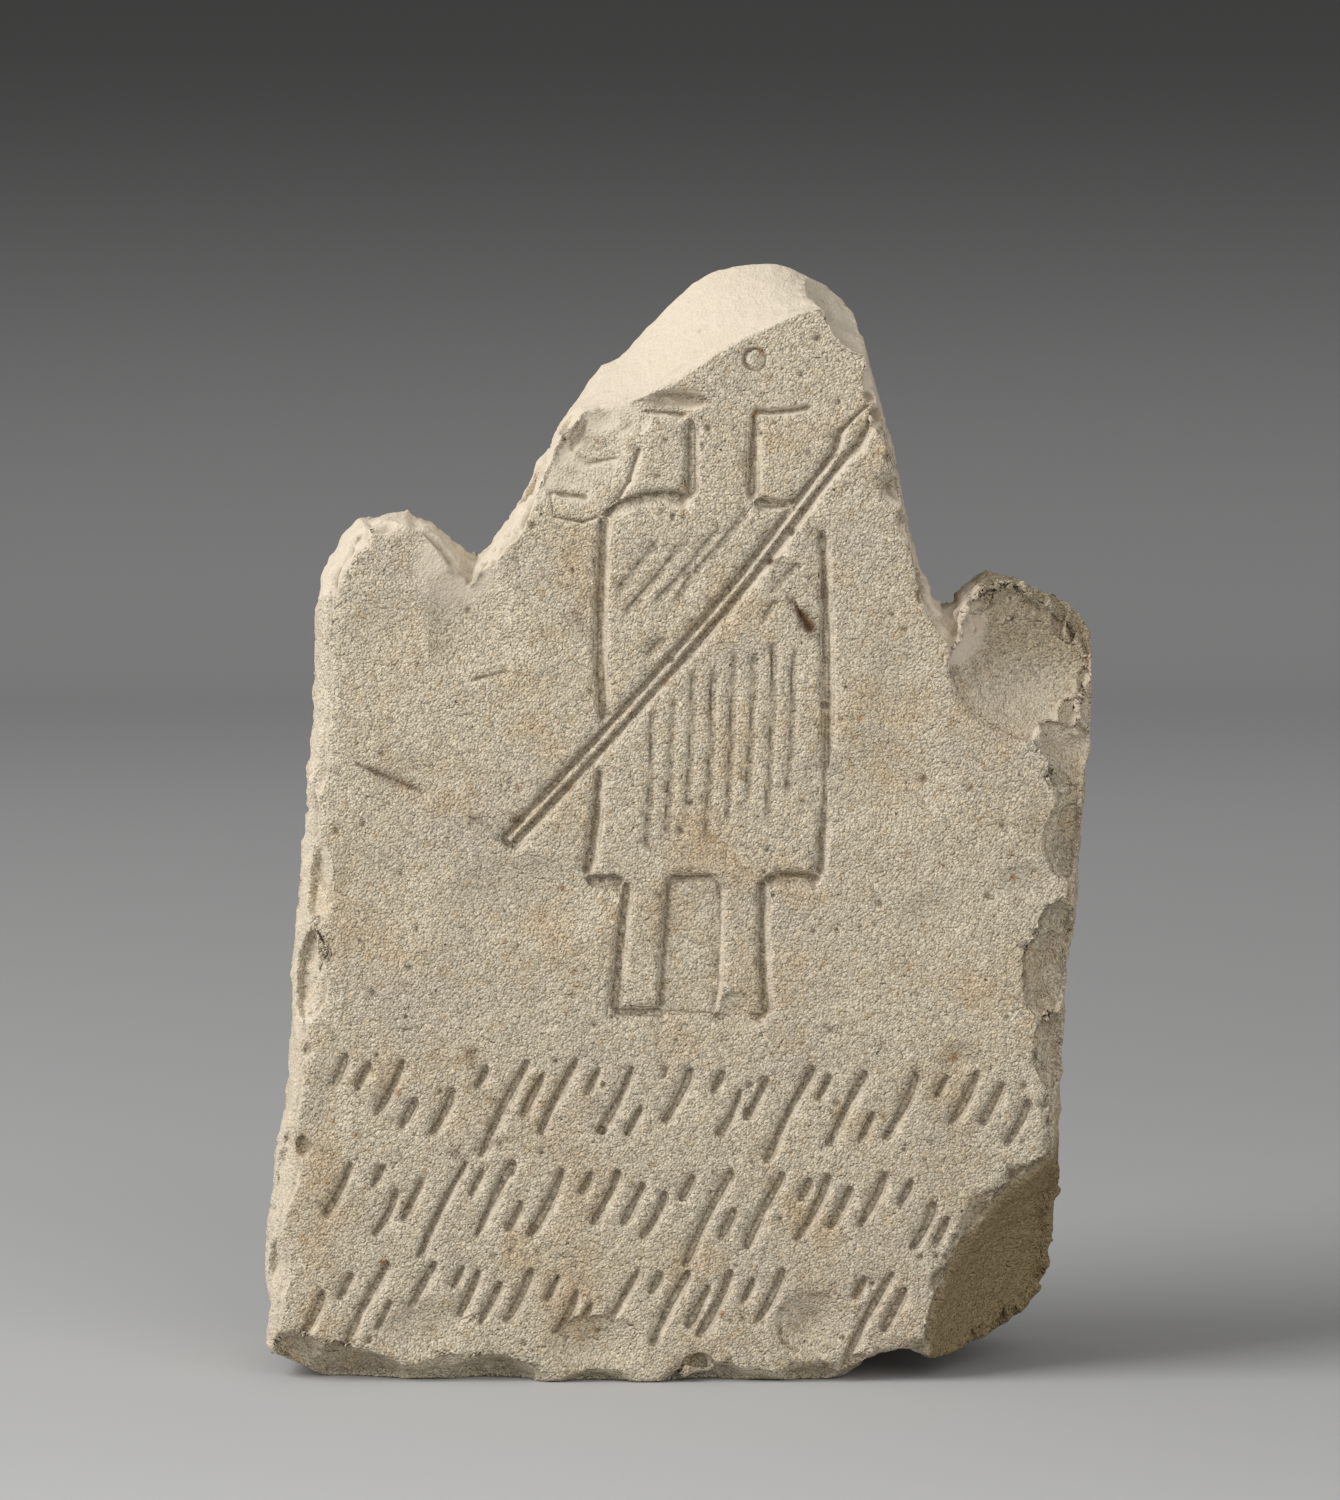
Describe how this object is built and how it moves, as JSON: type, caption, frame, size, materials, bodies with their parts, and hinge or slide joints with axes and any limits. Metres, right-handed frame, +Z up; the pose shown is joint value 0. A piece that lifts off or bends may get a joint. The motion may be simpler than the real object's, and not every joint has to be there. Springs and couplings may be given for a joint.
{
  "type": "carved stone stele",
  "caption": "Upright votive slab of limestone with a broken gable between two horns, an incised robed figure holding a long staff, and rows of shallow strokes below.",
  "frame": {"origin": "middle of the foot at floor level, under the middle of the slab's box", "axes": "+Z up the slab towards the gable, -Y out of the carved face, +X towards the broken right horn as the face is seen"},
  "size_m": [0.2, 0.068, 0.2704],
  "materials": {
    "limestone": "weathered grey-beige limestone, matt, with paler fresh breaks"
  },
  "bodies": {
    "root": {"stele": "limestone"}
  },
  "joints": []
}
